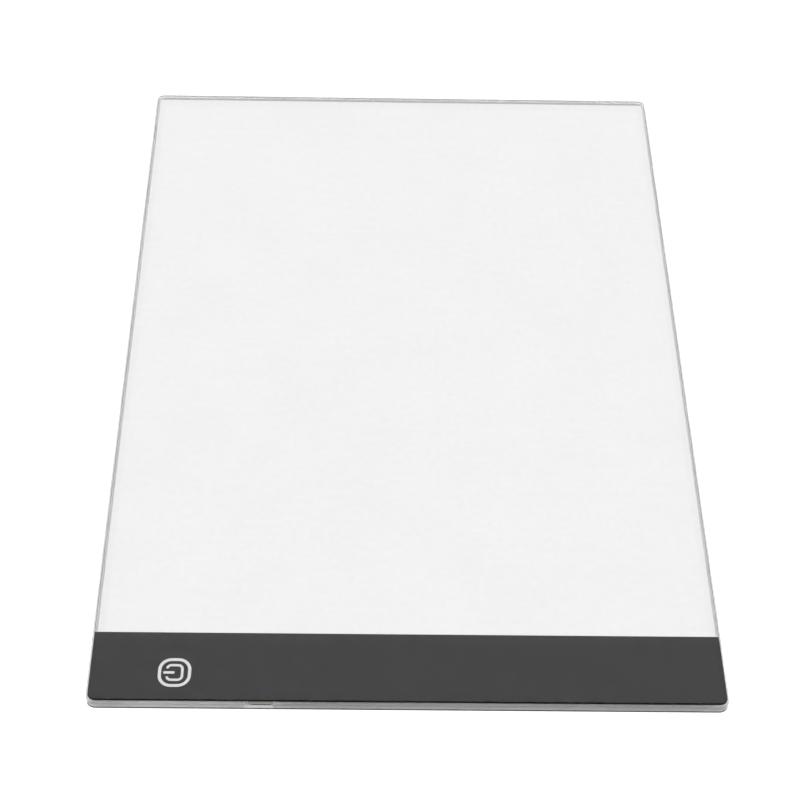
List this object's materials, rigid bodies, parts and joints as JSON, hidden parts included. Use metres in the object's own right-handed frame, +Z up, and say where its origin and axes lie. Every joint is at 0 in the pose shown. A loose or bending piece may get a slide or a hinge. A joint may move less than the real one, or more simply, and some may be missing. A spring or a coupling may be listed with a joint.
{
  "type": "edge-lit light box",
  "caption": "Thin edge-lit light box: a clear stepped edge around a white lit area, a black control band with a touch key, and a micro USB socket in the front edge.",
  "frame": {"origin": "centre of the pad's outline, at the height of the surface it lies on", "axes": "+Z up through the thickness, +Y along the length and away from the control band, +X to the right as the user faces the band"},
  "size_m": [0.235, 0.335, 0.0055],
  "materials": {
    "clear_acrylic": "clear, flame-polished faces, saw-cut edges lightly frosted",
    "black_ink_film": "black back-printed film seen through the cover, smooth",
    "white_ink": "white back-printed ink",
    "diffuser_white": "white translucent film, very fine surface",
    "reflector_white": "bright white foamed film",
    "clear_tape": "thin double-sided tape, faintly grey",
    "back_white": "fine-grained satin white sheet",
    "silicone": "translucent grey silicone",
    "white_circuit_board": "glass-epoxy board with white solder mask",
    "led_housing": "white moulded package",
    "phosphor": "yellow resin",
    "black_epoxy": "black moulding compound",
    "tinned_metal": "bright tin plating",
    "copper_foil": "bare copper",
    "ceramic_tan": "sintered ceramic",
    "tantalum_yellow": "moulded case",
    "plated_steel": "nickel-plated sheet steel",
    "connector_black": "moulded polymer",
    "gold_plating": "thin gold plating",
    "wire_red": "insulation",
    "wire_black": "insulation",
    "solder": "bright solder",
    "foam_tape": "thin foam tape"
  },
  "bodies": {
    "root": {"cover_sheet": "clear_acrylic", "band_mask": "black_ink_film", "touch_ring": "white_ink", "power_mark": "white_ink", "diffuser_film": "diffuser_white", "front_tape": "clear_tape", "light_guide": "clear_acrylic", "front_bar": "clear_acrylic", "reflector_film": "reflector_white", "back_tape": "clear_tape", "back_sheet": "back_white", "anti_slip_pads": "silicone", "led_board": "white_circuit_board", "led_packages": "led_housing", "led_phosphors": "phosphor", "led_resistors": "black_epoxy", "led_strip_tape": "foam_tape", "control_board": "white_circuit_board", "board_tape": "foam_tape", "touch_electrode": "copper_foil", "touch_chip": "black_epoxy", "touch_chip_leads": "tinned_metal", "driver_transistor": "black_epoxy", "driver_transistor_leads": "tinned_metal", "ceramic_capacitors": "ceramic_tan", "chip_resistors": "black_epoxy", "bulk_capacitor": "tantalum_yellow", "chip_end_caps": "tinned_metal", "usb_shell": "plated_steel", "usb_insulator": "connector_black", "usb_contacts": "gold_plating", "led_wire_red": "wire_red", "led_wire_black": "wire_black", "solder_joints": "solder"}
  },
  "joints": []
}
